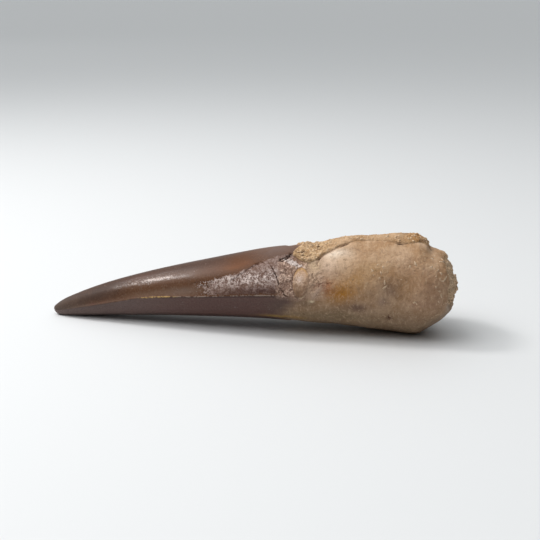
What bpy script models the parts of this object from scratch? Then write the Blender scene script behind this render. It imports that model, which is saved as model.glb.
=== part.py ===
"""A fossil theropod tooth with its root, lying on its side as it rests on a table.

The crown tapers from a blunt tip at -X to the worn end of the enamel, with a cutting ridge along its front
and its back. Behind it the root swells, dented in places, with a crust of cemented sand along its top that
overhangs a crevice, and ends in a rough break round the filled pulp cavity. It is one grown piece, so it is
one solid.

Frame: metres, +Z up, the table at Z 0, the length along X, the origin under its middle.
Angles run round the tooth: 0 faces -Y, 90 faces up, 180 faces +Y and 270 faces down.
"""

import math

import bmesh
import bpy
from mathutils import Vector, noise

MM = 0.001

# Driving dimensions, in millimetres.
LENGTH = 142.1
ENAMEL_END = 86.0
ROOT_SIDE_END = 128.0
TIP_BEND = 1.6  # how far the tip leans towards -Y
TIP_DRAWN_BACK = 0.6  # and how much of the length that takes
TIP_BEND_FROM = 38.0
TIP_TO_ORIGIN = 70.9  # the origin is under the middle of the length that the break leaves
SIDE_TO_ORIGIN = 0.11

# How the grown outline runs: distance from the tip, height of the middle, half height, half depth.
STATIONS = (
    (0.0, 2.1, 0.0, 0.0),
    (2.0, 2.1, 2.1, 2.1),
    (9.0, 3.8, 3.65, 3.8),
    (26.6, 7.4, 6.35, 6.8),
    (51.3, 11.25, 9.1, 10.0),
    (79.5, 14.5, 11.9, 12.9),
    (93.6, 14.7, 13.1, 13.9),
    (106.0, 15.7, 14.5, 14.8),
    (118.0, 15.9, 15.7, 15.3),
    (128.0, 16.0, 16.0, 15.0),
)

# The broken end: share of the way over it, reach towards the end, width above, below and on the near side.
BREAK_PROFILE = (
    (-0.05, -0.055, 1.0, 1.0, 1.0),
    (0.0, 0.0, 1.0, 1.0, 1.0),
    (0.05, 0.055, 0.98, 0.995, 1.0),
    (0.1, 0.12, 0.94, 0.982, 0.998),
    (0.2, 0.26, 0.85, 0.925, 0.98),
    (0.34, 0.46, 0.75, 0.82, 0.94),
    (0.46, 0.62, 0.65, 0.72, 0.88),
    (0.58, 0.74, 0.53, 0.62, 0.77),
    (0.69, 0.84, 0.38, 0.51, 0.61),
    (0.8, 0.92, 0.25, 0.37, 0.42),
    (0.91, 0.98, 0.14, 0.2, 0.21),
    (1.0, 1.0, 0.0, 0.0, 0.0),
)
NEAR_SIDE = 10.0  # the angle that the near side's width belongs to
# Lumps and notches of the break's edge: distance, angle, reach along, reach round, height.
BREAK_LUMPS = (
    (130.2, 92.0, 0.9, 20.0, 0.7),
    (132.2, 90.0, 1.1, 24.0, -0.7),
    (136.2, 88.0, 1.5, 26.0, 0.8),
    (139.6, 78.0, 1.7, 32.0, -2.3),
    (140.8, 28.0, 1.5, 12.0, 0.2),
    (140.6, -20.0, 1.6, 14.0, -2.1),
)
BREAK_LEAN = 0.04  # its upper part sticks out further than its foot
BREAK_ROUGHNESS = 1.3
BREAK_GRAIN = 4.6
CAVITY_RADIUS = 6.5
CAVITY_DEPTH = 2.4

# The grid that is wrapped round the tooth.
CROWN_RINGS = 32
ROOT_RINGS = 30
END_RINGS = 12
AROUND = 64
CROWN_CROWDING = 1.3  # above 1 crowds the rings towards the tip

# The cutting ridges on the crown's front and back.
RIDGE_HEIGHT = 0.7
RIDGE_HALF_ANGLE = 6.0
RIDGE_FULL_FROM = 14.0

# The step where the enamel stops, and how far its edge wanders.
ENAMEL_THICKNESS = 0.35
ENAMEL_EDGE_WIDTH = 1.6
ENAMEL_WANDER = 3.5

# The crown's long shallow flutes.
FLUTE_DEPTH = 0.12
FLUTE_COUNT = 9

# The crust of cemented sand on top of the root. Its front lip: distance, angle.
CRUST_LIP = (
    (80.0, 66.0),
    (87.0, 62.0),
    (90.5, 52.5),
    (94.5, 51.5),
    (98.1, 61.4),
    (104.9, 72.8),
    (108.0, 77.0),
    (113.0, 78.0),
    (117.5, 75.5),
    (123.8, 71.5),
    (127.0, 74.0),
    (130.0, 78.0),
    (134.0, 80.0),
)
CRUST_START = 84.0
CRUST_THICKNESS = 0.9  # near the enamel
CRUST_TOP_SHARE = 0.35  # of it that is left along the root's top
CRUST_BACK_EDGE = 142.0
CRUST_BACK_WANDER = 10.0
CREVICE_DEPTH = 0.9
LIP_COLUMN = 67.5  # the grid column that is led along the lip
LIP_PULL = 100.0  # how far round from the lip the grid gives way to it

# Swellings and hollows: distance, angle, reach along, reach round, height.
SWELLINGS = (
    (126.0, 98.0, 4.5, 22.0, 0.4),
    (121.0, 92.0, 5.0, 22.0, 0.75),
    (110.0, 92.0, 13.0, 32.0, 0.9),
    (103.0, 84.0, 6.0, 26.0, 0.95),
    (77.0, 90.0, 10.0, 36.0, 0.35),
    (88.0, 92.0, 4.0, 26.0, 0.5),
    (101.0, 62.0, 8.0, 24.0, 0.5),
    (98.0, 46.0, 5.0, 14.0, 0.3),
    (103.5, 20.0, 4.0, 12.0, -0.2),
    (121.5, -10.0, 5.5, 46.0, -0.8),
    (107.0, -22.0, 9.0, 26.0, -0.5),
    (96.0, -75.0, 9.0, 30.0, -0.3),
    (127.0, -78.0, 5.0, 34.0, 0.7),
    (131.0, 12.0, 6.0, 36.0, 0.6),
    (127.8, -10.0, 4.5, 62.0, -0.2),
    (110.0, 190.0, 16.0, 30.0, -0.7),
    (100.0, 232.0, 10.0, 24.0, 0.4),
    (122.0, 160.0, 7.0, 28.0, 0.5),
    (90.5, 14.0, 3.4, 17.0, 0.35),
    (117.0, 205.0, 4.0, 14.0, -0.6),
    (118.0, 262.0, 9.0, 26.0, 0.3),
)

# Slow unevenness of the root's skin.
ROOT_UNEVENNESS = 0.4
ROOT_LUMP_SIZE = 8.0

ENAMEL_BROWN = (0.115, 0.062, 0.042, 1.0)


def clear_scene():
    for old in list(bpy.data.objects):
        bpy.data.objects.remove(old)


def smooth(low, high, value):
    """0 below low, 1 above high and an S-curve between them."""
    share = min(1.0, max(0.0, (value - low) / (high - low)))
    return share * share * (3.0 - 2.0 * share)


def along_curve(stations, where):
    """Reads rows of (place, value, ...) with a smooth curve through them."""
    last = len(stations) - 1
    if where <= stations[0][0]:
        return stations[0][1:]
    if where >= stations[last][0]:
        return stations[last][1:]
    i = next(n for n in range(last) if where <= stations[n + 1][0])
    here, there = stations[i], stations[i + 1]
    before, after = stations[max(i - 1, 0)], stations[min(i + 2, last)]
    span = there[0] - here[0]
    share = (where - here[0]) / span
    values = []
    for column in range(1, len(here)):
        slope_here = (there[column] - before[column]) / (there[0] - before[0]) * span
        slope_there = (after[column] - here[column]) / (after[0] - here[0]) * span
        rise = there[column] - here[column]
        values.append(
            here[column]
            + share * slope_here
            + share**2 * (3.0 * rise - 2.0 * slope_here - slope_there)
            + share**3 * (slope_here + slope_there - 2.0 * rise)
        )
    return tuple(values)


def grown_outline(distance):
    """Height of the middle, half height and half depth at this distance from the tip."""
    rounded_tip = [(math.sqrt(row[0]), *row[1:]) for row in STATIONS]
    return along_curve(rounded_tip, math.sqrt(distance))


def turned(angle, centre):
    """How far angle lies past centre the short way round, in degrees."""
    return (angle - centre + 180.0) % 360.0 - 180.0


def lip_angle(distance):
    (angle,) = along_curve(CRUST_LIP, distance)
    return angle


def enamel_edge(angle):
    """How far from the tip the enamel reaches on this side."""
    around = math.radians(angle)
    wander = 0.6 * math.sin(2.0 * around + 0.8) + 0.4 * math.sin(5.0 * around + 2.1)
    return ENAMEL_END + ENAMEL_WANDER * wander


def ridges(distance, angle):
    grown = smooth(0.0, RIDGE_FULL_FROM, distance)
    left = 1.0 - smooth(ENAMEL_END, ENAMEL_END + 8.0, distance)
    nearest = min(abs(turned(angle, 0.0)), abs(turned(angle, 180.0)))
    return RIDGE_HEIGHT * grown * left * math.exp(-nearest / RIDGE_HALF_ANGLE)


def flutes(distance, angle):
    here = smooth(10.0, 40.0, distance) * (1.0 - smooth(ENAMEL_END - 6.0, ENAMEL_END + 4.0, distance))
    return FLUTE_DEPTH * here * math.cos(math.radians(angle) * FLUTE_COUNT)


def enamel(distance, angle):
    edge = enamel_edge(angle)
    return ENAMEL_THICKNESS * (1.0 - smooth(edge, edge + ENAMEL_EDGE_WIDTH, distance))


def crust(distance, angle):
    """The sand crust on top of the root, and the crevice under its front lip."""
    column = 360.0 / AROUND
    above_lip = turned(angle, lip_angle(distance))
    back_edge = CRUST_BACK_EDGE + CRUST_BACK_WANDER * math.sin(distance * 0.35)
    here = smooth(CRUST_START, CRUST_START + 2.0, distance)
    here *= 1.0 - smooth(ROOT_SIDE_END - 0.5, ROOT_SIDE_END + 2.5, distance)
    covered = smooth(-0.6 * column, 0.2 * column, above_lip)
    covered *= 1.0 - smooth(back_edge - 8.0, back_edge + 8.0, angle % 360.0)
    open_share = 0.55 + 0.45 * math.sin(distance * 0.6)
    crevice = open_share * math.exp(-(((above_lip + column) / (0.6 * column)) ** 2))
    thickness = CRUST_THICKNESS * (1.0 - (1.0 - CRUST_TOP_SHARE) * smooth(93.0, 101.0, distance))
    return here * (thickness * covered - CREVICE_DEPTH * crevice)


def lumps(table, distance, angle):
    """The height here of a table of swellings and hollows."""
    return sum(
        height * math.exp(-(((distance - place) / along) ** 2) - (turned(angle, side) / around) ** 2)
        for place, side, along, around, height in table
    )


def unevenness(distance, point):
    """Slow lumps over the root."""
    share = smooth(ENAMEL_END - 4.0, ENAMEL_END + 10.0, distance)
    return ROOT_UNEVENNESS * share * noise.fractal(point / ROOT_LUMP_SIZE, 1.0, 2.0, 3)


def side_point(distance, angle, relief_left=1.0):
    """A point of the tooth's side, in millimetres from the tip."""
    middle, half_height, half_depth = grown_outline(distance)
    around = math.radians(angle)
    outward = Vector((0.0, -math.cos(around) * half_depth, math.sin(around) * half_height))
    bend = max(0.0, 1.0 - distance / TIP_BEND_FROM) ** 2
    point = Vector((distance + TIP_DRAWN_BACK * bend, -TIP_BEND * bend, middle)) + outward
    relief = ridges(distance, angle) + flutes(distance, angle) + enamel(distance, angle)
    relief += crust(distance, angle) + lumps(SWELLINGS, distance, angle) + unevenness(distance, point)
    return point + outward.normalized() * relief * relief_left * smooth(0.0, 6.0, distance)


def end_point(share, angle):
    """A point of the broken end: share runs from 0 at the root's rim to 1 at the middle of the break."""
    rim = side_point(ROOT_SIDE_END, angle, 1.0 - smooth(0.0, 0.3, share))
    middle = Vector((ROOT_SIDE_END, 0.0, grown_outline(ROOT_SIDE_END)[0]))
    reach, above, below, near = along_curve(BREAK_PROFILE, share)
    upward = 0.5 + 0.5 * math.sin(math.radians(angle))
    width = below + (above - below) * upward
    width += (near - width) * smooth(0.45, 1.0, math.cos(math.radians(angle - NEAR_SIDE)))
    point = middle + (rim - middle) * width
    point.x += (LENGTH - ROOT_SIDE_END) * reach + BREAK_LEAN * (point.z - middle.z) * smooth(0.0, 0.6, share)
    across = math.hypot(point.y, point.z - middle.z)
    rough = noise.fractal(point / BREAK_GRAIN, 0.6, 2.2, 3) * BREAK_ROUGHNESS * smooth(0.0, 0.3, share)
    off_middle = 1.0 - smooth(0.7, 0.85, share)
    rough += lumps(BREAK_LUMPS, ROOT_SIDE_END + (LENGTH - ROOT_SIDE_END) * reach, angle) * off_middle
    hollow = CAVITY_DEPTH * (1.0 - smooth(0.45 * CAVITY_RADIUS, CAVITY_RADIUS, across))
    outward = (point - middle + Vector((0.5 * (LENGTH - ROOT_SIDE_END), 0.0, 0.0))).normalized()
    return point + outward * rough - Vector((hollow, 0.0, 0.0))


def grid_angle(column, distance):
    """The columns near the crust are led along its lip, so that the lip has a clean edge."""
    angle = column * 360.0 / AROUND
    pull = 1.0 - smooth(0.0, LIP_PULL, abs(turned(angle, LIP_COLUMN)))
    return angle + (lip_angle(distance) - LIP_COLUMN) * pull


def surface_point(ring, column):
    """The grid's rings count from the tip, over the sides and round the broken end."""
    if ring <= CROWN_RINGS:
        distance = ENAMEL_END * (ring / CROWN_RINGS) ** CROWN_CROWDING
        point = side_point(distance, grid_angle(column, distance))
    elif ring <= CROWN_RINGS + ROOT_RINGS:
        distance = ENAMEL_END + (ROOT_SIDE_END - ENAMEL_END) * (ring - CROWN_RINGS) / ROOT_RINGS
        point = side_point(distance, grid_angle(column, distance))
    else:
        share = (ring - CROWN_RINGS - ROOT_RINGS) / END_RINGS
        point = end_point(share, grid_angle(column, ROOT_SIDE_END))
    point.x -= TIP_TO_ORIGIN
    point.y -= SIDE_TO_ORIGIN
    point.z = max(point.z, 0.0)  # the worn patches that it rests on
    return point * MM


def build_tooth():
    """A grid wrapped round the tooth, with its seam and its two poles merged."""
    rings = CROWN_RINGS + ROOT_RINGS + END_RINGS
    body = bmesh.new()
    bmesh.ops.create_grid(body, x_segments=rings, y_segments=AROUND, size=0.5)
    for corner in body.verts:
        ring = round((corner.co.x + 0.5) * rings)
        column = round((corner.co.y + 0.5) * AROUND) % AROUND
        corner.co = surface_point(ring, column)
    bmesh.ops.remove_doubles(body, verts=body.verts, dist=1e-6)
    bmesh.ops.triangulate(body, faces=body.faces)
    bmesh.ops.recalc_face_normals(body, faces=body.faces)
    mesh = bpy.data.meshes.new("tooth")
    body.to_mesh(mesh)
    body.free()
    mesh.shade_smooth()
    return bpy.data.objects.new("tooth", mesh)


def fossil_material():
    material = bpy.data.materials.new("fossil")
    material.use_nodes = True
    surface = material.node_tree.nodes["Principled BSDF"]
    surface.inputs["Base Color"].default_value = ENAMEL_BROWN
    surface.inputs["Roughness"].default_value = 0.45
    surface.inputs["Metallic"].default_value = 0.0
    return material


def main():
    clear_scene()
    collection = bpy.data.collections.new("fossil_tooth")
    bpy.context.scene.collection.children.link(collection)
    tooth = build_tooth()
    tooth.data.materials.append(fossil_material())
    collection.objects.link(tooth)


main()
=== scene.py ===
"""The looks of a fossil theropod tooth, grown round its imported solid.

The tooth is one piece: a skin that Geometry Nodes wrap round the tooth's grown outline, with the
cutting ridges, the worn enamel, the sand crust with its crevice, the cracks and the gravelly break
carved into it. Loose sand grains and pale flecks are scattered over it as pieces of their own.

Lengths inside the formulas are in millimetres. Angles run round the tooth in degrees: 0 faces -Y,
90 faces up, 180 faces +Y and 270 faces down. Distances run along it from the tip. Colours are red,
green and blue in linear light.
"""

import math
from functools import partial
from types import SimpleNamespace

import bpy
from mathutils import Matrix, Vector, noise


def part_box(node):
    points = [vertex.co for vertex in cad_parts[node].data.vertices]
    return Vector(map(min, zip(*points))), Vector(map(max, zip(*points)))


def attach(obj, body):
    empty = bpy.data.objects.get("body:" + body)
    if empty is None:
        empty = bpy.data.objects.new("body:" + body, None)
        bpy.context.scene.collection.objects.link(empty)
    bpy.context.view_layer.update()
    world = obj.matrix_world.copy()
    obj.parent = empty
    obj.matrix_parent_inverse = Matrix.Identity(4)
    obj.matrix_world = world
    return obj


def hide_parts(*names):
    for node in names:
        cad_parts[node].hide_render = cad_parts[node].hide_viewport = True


bl_info = {
    "name": "Fossil Tooth",
    "version": (1, 0, 0),
    "blender": (4, 5, 0),
    "location": "View3D > Sidebar > Fossil Tooth",
    "description": "Grows a fossil tooth's worn enamel, crusted root and broken end round its solid",
    "category": "Object",
}

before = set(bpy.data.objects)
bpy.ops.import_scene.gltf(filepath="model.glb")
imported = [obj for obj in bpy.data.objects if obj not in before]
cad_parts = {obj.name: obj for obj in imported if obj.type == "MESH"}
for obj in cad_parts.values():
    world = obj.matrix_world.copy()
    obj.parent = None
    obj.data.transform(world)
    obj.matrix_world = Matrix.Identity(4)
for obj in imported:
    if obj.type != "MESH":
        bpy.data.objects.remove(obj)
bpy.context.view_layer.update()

MM = 0.001
MM_PER_METRE = 1000
RADIANS = math.pi / 180
DEGREES = 180 / math.pi
NODE = "tooth"
GRAIN_GROUP = "Stone grain"
LOWEST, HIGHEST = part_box(NODE)
TIP_TO_ORIGIN = 70.9
SIDE_TO_ORIGIN = 0.11
# The tip leans towards -Y, which takes a little of the length.
TIP_BEND = 1.6
TIP_DRAWN_BACK = 0.6
TIP_BEND_FROM = 38
# How the grown outline runs: distance from the tip, height of the middle, half height, half depth.
STATIONS = (
    (0, 2.1, 0, 0), (2, 2.1, 2.1, 2.1), (9, 3.8, 3.65, 3.8), (26.6, 7.4, 6.35, 6.8),
    (51.3, 11.25, 9.1, 10), (79.5, 14.5, 11.9, 12.9), (93.6, 14.7, 13.1, 13.9), (106, 15.7, 14.5, 14.8),
    (118, 15.9, 15.7, 15.3), (128, 16, 16, 15),
)
ROOT_SIDE_END = 128
BREAK_REACH = 14.1
BREAK_LEAN = 0.04
# The broken end: share of the way over it, reach towards the end, width above, below and near side.
BREAK_PROFILE = (
    (-0.05, -0.055, 1, 1, 1), (0, 0, 1, 1, 1), (0.05, 0.055, 0.98, 0.995, 1),
    (0.1, 0.12, 0.94, 0.982, 0.998), (0.2, 0.26, 0.85, 0.925, 0.98), (0.34, 0.46, 0.75, 0.82, 0.94),
    (0.46, 0.62, 0.65, 0.72, 0.88), (0.58, 0.74, 0.53, 0.62, 0.77), (0.69, 0.84, 0.38, 0.51, 0.61),
    (0.8, 0.92, 0.25, 0.37, 0.42), (0.91, 0.98, 0.14, 0.2, 0.21), (1, 1, 0, 0, 0),
)
NEAR_SIDE = 10
# Lumps and notches of the break's edge: distance, angle, reach along, reach round, height.
BREAK_LUMPS = (
    (130.2, 92, 0.9, 20, 0.7), (132.2, 90, 1.1, 24, -0.7), (136.2, 88, 1.5, 26, 0.8),
    (139.6, 78, 1.7, 32, -2.3), (140.8, 28, 1.5, 12, 0.2), (140.6, -20, 1.6, 14, -2.1),
)
# Rings of the skin: up to this distance, one every so many millimetres.
RING_STEPS = ((3, 0.2), (8, 0.33), (52, 0.46), (66, 0.36), (98, 0.27), (128, 0.37))
BREAK_RINGS = 54
COLUMNS = 232
COLUMN_CROWDING = 0.45
SEAM_ANGLE = -160
MM_PER_DEGREE = 0.24
# Where the front cutting ridge runs: distance, angle.
FRONT_RIDGE = (
    (0, 0), (11, -1), (19, 1.5), (27, 4.5), (33, 7.5), (41, 6.2), (48, 4.2), (57, 1.8), (70, 0.4),
    (84, 0), (95, -1.5), (128, 0),
)
# The crust's lip: distance, angle.
CRUST_LIP = (
    (0, 68), (84, 67), (87, 62.5), (89, 55.5), (91, 51), (93, 50.5), (94.5, 51.5), (95.7, 54.7),
    (98.1, 61.4), (101.4, 66.9), (104.9, 72.8), (108, 77), (113, 78), (117.5, 75.5), (120, 73),
    (123.8, 71.5), (127, 74), (130, 78), (142, 82),
)
# The upper and lower edge of the frosted enamel: distance, upper angle, lower angle.
FROSTED = (
    (0, 24, 22), (50, 24, 12), (54.5, 32, 1), (58, 33, 0), (64, 36, 0), (68, 39, 1), (70, 42, 1),
    (73, 48.5, 1), (75.3, 54, 1), (78, 58, 1), (82, 65, 1), (86.5, 66, 1), (142, 60, 0),
)
# Swellings and hollows: distance, angle, reach along, reach round, height.
SWELLINGS = (
    (126, 98, 4.5, 22, 0.4), (121, 92, 5, 22, 0.75), (110, 92, 13, 32, 0.9), (103, 84, 6, 26, 0.95),
    (77, 90, 10, 36, 0.35), (88, 92, 4, 26, 0.5), (101, 62, 8, 24, 0.5), (98, 46, 5, 14, 0.3),
    (103.5, 20, 4, 12, -0.2), (121.5, -10, 5.5, 46, -0.8), (107, -22, 9, 26, -0.5),
    (96, -75, 9, 30, -0.3), (127, -78, 5, 34, 0.7), (131, 12, 6, 36, 0.6), (127.8, -10, 4.5, 62, -0.2),
    (110, 190, 16, 30, -0.7), (100, 232, 10, 24, 0.4), (122, 160, 7, 28, 0.5),
    (90.5, 14, 3.4, 17, 0.35), (117, 205, 4, 14, -0.6), (118, 262, 9, 26, 0.3),
)
# Cracks and pits: a path's places, each with distance, angle, half width and depth.
CRACKS = (
    # the chipped crack under the crust's front corner
    ((82.2, 53, 0.2, 0.4), (83.1, 57.5, 0.34, 0.8), (84, 59, 0.2, 0.5), (84.8, 62.5, 0.36, 0.8)),
    ((84.6, 61, 0.22, 0.5), (86, 66.5, 0.3, 0.8), (86.9, 68, 0.16, 0.4)),
    ((82.6, 53.5, 0.2, 0.4), (83.7, 54, 0.3, 0.6), (84.7, 56.5, 0.22, 0.5)),
    ((84.3, 55.5, 0.2, 0.4), (85.6, 62, 0.32, 0.7), (86.6, 63.8, 0.2, 0.5)),
    ((85, 52.5, 0.12, 0.2), (86.4, 56, 0.16, 0.3), (87.4, 57, 0.1, 0.2)),
    # the chain down the enamel's worn end
    ((79.6, 48, 0.14, 0.2), (80.6, 41, 0.22, 0.4), (81, 36, 0.16, 0.3), (81.8, 31, 0.24, 0.5)),
    ((81.9, 29, 0.22, 0.4), (82.3, 24, 0.18, 0.35), (82.9, 19, 0.26, 0.5), (82.8, 15, 0.14, 0.3)),
    ((83.2, 11, 0.14, 0.25), (84.4, 6, 0.2, 0.35), (85.2, 0.5, 0.25, 0.4), (87.4, -1, 0.12, 0.15)),
    # pits in the frosted enamel
    ((74.4, 52.5, 0.22, 0.3), (75.2, 51.5, 0.25, 0.3)),
    ((76.6, 53.5, 0.26, 0.35), (77.5, 52, 0.18, 0.2)),
    ((75.6, 47.5, 0.22, 0.3), (76.4, 46.5, 0.15, 0.2)), ((79, 51, 0.2, 0.25), (79.5, 49, 0.2, 0.2)),
    ((84.8, 39, 0.2, 0.3), (85.4, 38, 0.2, 0.3)), ((56.3, 22, 0.2, 0.25), (57, 20, 0.18, 0.2)),
    ((59, 27, 0.2, 0.22), (60.2, 26, 0.16, 0.2)),
    # round the oval chip
    ((88.3, 1, 0.1, 0.1), (87.5, 9, 0.12, 0.16), (87.2, 20, 0.14, 0.2), (87.6, 32, 0.12, 0.18),
     (88.8, 41.5, 0.1, 0.1)),
    ((92.5, 37, 0.1, 0.1), (93, 26, 0.12, 0.16), (92.7, 13, 0.1, 0.12), (91.8, 2, 0.08, 0.08)),
    # veins between the chips and the root
    ((94.6, 20.5, 0.08, 0.1), (96.5, 18, 0.14, 0.16), (98.6, 19.5, 0.12, 0.12),
     (100.8, 16.5, 0.08, 0.08)),
    ((95.6, 44, 0.16, 0.16), (95.2, 48, 0.2, 0.22), (95.9, 53, 0.16, 0.2)),
    ((94.3, 38, 0.1, 0.12), (93.8, 30, 0.12, 0.16), (95, 23, 0.1, 0.12)),
    ((96, 6, 0.08, 0.1), (95, 0, 0.1, 0.12), (94.3, -6, 0.08, 0.08)),
    # inside the crust
    ((87.8, 66, 0.15, 0.25), (89.6, 67.5, 0.3, 0.5), (91.5, 68.5, 0.15, 0.3), (94, 67, 0.12, 0.25)),
    ((88.6, 59, 0.15, 0.25), (91, 60.5, 0.15, 0.25), (93.6, 58.5, 0.12, 0.2)),
    ((92, 76, 0.12, 0.25), (97, 80, 0.18, 0.35), (102, 84, 0.14, 0.25)),
    ((100, 120, 0.15, 0.3), (106, 112, 0.2, 0.4), (112, 116, 0.15, 0.3), (117, 110, 0.1, 0.2)),
    ((126.8, 97, 0.2, 0.35), (128.2, 92, 0.3, 0.5), (130.2, 90, 0.25, 0.4)),
    ((122.6, 92, 0.2, 0.3), (124, 95, 0.3, 0.45), (125, 97, 0.2, 0.3)),
    # near the tip and on the underside of the crown
    ((11.6, -8, 0.08, 0.06), (11.2, -20, 0.1, 0.1), (12, -33, 0.12, 0.1), (12.4, -46, 0.08, 0.06)),
    ((30.8, -26, 0.18, 0.12), (31, -29, 0.18, 0.12)),
    # the root's pits and drying cracks
    ((119.2, -25, 0.2, 0.2), (119.1, -29, 0.28, 0.26), (119.4, -33, 0.2, 0.2)),
    ((91, -32, 0.2, 0.12), (91.3, -34, 0.2, 0.12)), ((99.8, -38, 0.2, 0.1), (100.6, -40, 0.2, 0.1)),
    ((88, 150, 0.15, 0.25), (97, 156, 0.2, 0.4), (106, 151, 0.15, 0.3), (118, 158, 0.2, 0.4),
     (127, 154, 0.1, 0.2)),
    ((91, 214, 0.12, 0.2), (99, 209, 0.16, 0.3), (108, 215, 0.12, 0.2)),
    ((62, 142, 0.08, 0.1), (72, 145, 0.12, 0.2), (82, 141, 0.16, 0.3), (86, 139, 0.1, 0.2)),
    ((46, 205, 0.08, 0.08), (58, 202, 0.1, 0.12), (69, 206, 0.1, 0.1)),
)
# Where the gap under the crust's lip is open: distance, reach along, openness.
LIP_GAPS = (
    (95.6, 1.6, 0.9), (99.5, 1.4, 0.5), (103.8, 1.9, 1), (110, 1.4, 0.35), (121.8, 1.9, 1),
)
CRACK_STEP = 0.35
CRACK_WOBBLE = 0.35
# Where in the noise the wobble along, the wobble round and the swelling of the cracks are read.
WOBBLE_SHIFTS = (Vector((9.3, -1.5, -8)), Vector((-4.4, 7.7, 3.1)))
SWELL_SHIFT = Vector((0, 0, 5))
# Stains of the enamel, and of the root with painted highlights and painted shade among them: distance,
# angle, reach along, reach round, strength, colour.
ENAMEL_STAINS = (
    (68.5, 60, 6.5, 20, 0.95, (0.11, 0.034, 0.006)), (66.5, 50, 3.6, 6, 0.6, (0.2, 0.068, 0.018)),
    (71, 56, 3, 6, 0.5, (0.175, 0.058, 0.018)), (60, 52, 6, 12, 0.4, (0.16, 0.072, 0.04)),
    (38, 17, 9, 8, 0.5, (0.15, 0.092, 0.058)), (50, 14, 7.5, 9, 0.65, (0.19, 0.13, 0.1)),
    (17, 36, 11, 34, 0.8, (0.04, 0.023, 0.017)), (16.5, 4, 1.3, 5, 0.3, (0.16, 0.055, 0.04)),
    (20.5, 5, 1.1, 4, 0.3, (0.16, 0.065, 0.04)), (33, 66, 5, 10, 0.35, (0.15, 0.06, 0.042)),
    (76, 9, 6, 4.5, 0.7, (0.07, 0.028, 0.026)), (84, -20, 5, 16, 0.5, (0.105, 0.075, 0.055)),
    (81, -44, 4.5, 4.5, 0.8, (0.36, 0.22, 0.065)), (81, 76, 6, 16, 0.75, (0.155, 0.098, 0.08)),
    (48, 150, 16, 30, 0.4, (0.13, 0.066, 0.04)), (70, 210, 10, 26, 0.35, (0.12, 0.08, 0.065)),
)
ROOT_STAINS_AND_PAINTED_LIGHT = (
    # the first three entries are painted highlights on the root's dome
    (98.5, 45, 5.5, 12, 0.85, (0.82, 0.61, 0.46)), (101.5, 57, 4.2, 6.5, 0.9, (0.95, 0.82, 0.68)),
    (104, 47, 7, 16, 0.6, (0.7, 0.48, 0.31)), (99, 30, 4.5, 9, 0.45, (0.5, 0.33, 0.24)),
    (103.5, 4, 3.6, 12, 1, (0.42, 0.178, 0.022)), (100, 6, 3, 9, 0.6, (0.3, 0.125, 0.035)),
    (108.5, 22, 4, 10, 0.55, (0.4, 0.21, 0.065)), (113, 36, 5, 9, 0.4, (0.43, 0.25, 0.1)),
    (97.6, 13, 3, 8, 0.8, (0.44, 0.175, 0.082)), (92, -10, 4, 9, 0.6, (0.118, 0.078, 0.05)),
    # the first entry here is painted light on the corner that the crust's end shades
    (128.6, 76, 2.2, 8, 0.6, (0.78, 0.55, 0.37)), (109, -17, 3.6, 7, 0.9, (0.13, 0.066, 0.048)),
    (119.4, -30.5, 0.9, 3, 1, (0.085, 0.028, 0.016)), (103, -24, 4, 6, 0.35, (0.2, 0.128, 0.078)),
    # these two darken the dent: painted shade
    (119, 10, 3.6, 13, 0.65, (0.185, 0.115, 0.082)), (116.8, -6, 2.2, 7, 0.4, (0.2, 0.14, 0.13)),
    (112.5, 4, 2.2, 6, 0.35, (0.24, 0.15, 0.09)), (124, 40, 5, 16, 0.35, (0.36, 0.235, 0.165)),
    (133, 12, 6, 26, 0.5, (0.36, 0.215, 0.15)), (129, -8, 5, 8, 0.35, (0.42, 0.25, 0.17)),
    (100, -34, 16, 12, 0.6, (0.2, 0.145, 0.076)), (83, -45, 6, 4.5, 0.9, (0.42, 0.25, 0.065)),
    (89, -44, 3, 5, 0.6, (0.34, 0.2, 0.07)), (88, -34, 10, 4, 0.4, (0.24, 0.165, 0.095)),
    (106, 185, 6, 18, 0.6, (0.33, 0.15, 0.04)), (121, 222, 6, 22, 0.5, (0.18, 0.11, 0.085)),
    (96, 150, 6, 16, 0.4, (0.52, 0.36, 0.24)),
)
# Clusters of pale flecks on the root: distance, angle, reach along, reach round, weight.
FLECK_CLUSTERS = (
    (135.5, 50, 4, 24, 1), (115.5, 42, 4, 12, 0.6), (131, -4, 8, 14, 0.3), (115, 10, 3, 9, 0.3),
    (112, 190, 12, 30, 0.3), (134, 200, 5, 60, 0.6),
)
# Where the crust, frosted enamel, diagonal step, oval chip and break lie: along the tooth, round it.
CRUST_FRONT, CRUST_END, CRUST_BACK = 86.7, 132.2, 142
FROST_FRONT, FROST_END = 52.6, 87.5
STEP_ALONG, STEP_ROUND = 66.6, 27
OVAL_ALONG, OVAL_ROUND, OVAL_HALF_LENGTH, OVAL_HALF_ANGLE = 90.2, 20, 2.75, 23
BREAK_START, BREAK_SLANT, BREAK_MIDDLE_HEIGHT = 138.4, 2.4, 16
FLUTES = 9
WELD_DISTANCE = 1e-4
BUMP_HEIGHT = 0.00016
TOOTH_SPECULAR, STONE_SPECULAR, FLOOR_ROUGHNESS = 0.22, 0.3, 0.7
# The side of the sky that is brightest.
SKY_TOWARDS = (-0.25, 0.4, 0.88)
# Single spots of the colours: distance, angle, reach along, reach round.
# the shoulder's painted highlight
SHOULDER_HIGHLIGHT = (43, 52, 13, 12)
# a scuff on the shoulder, partly painted highlight
SHOULDER_SCUFF_AND_HIGHLIGHT = (39.5, 49.5, 9, 7.5)
SHOULDER_SCALES = (33, 50, 12, 22)
BELT_CORNER = (94.4, 44, 2.6, 9)
BELT_TIP = (94, -7.5, 0.7, 1.8)
ROOT_VEINS = (97.6, 16, 3.8, 8)
CRUST_HOLES = (129.3, 80, 1.7, 9)
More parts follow.
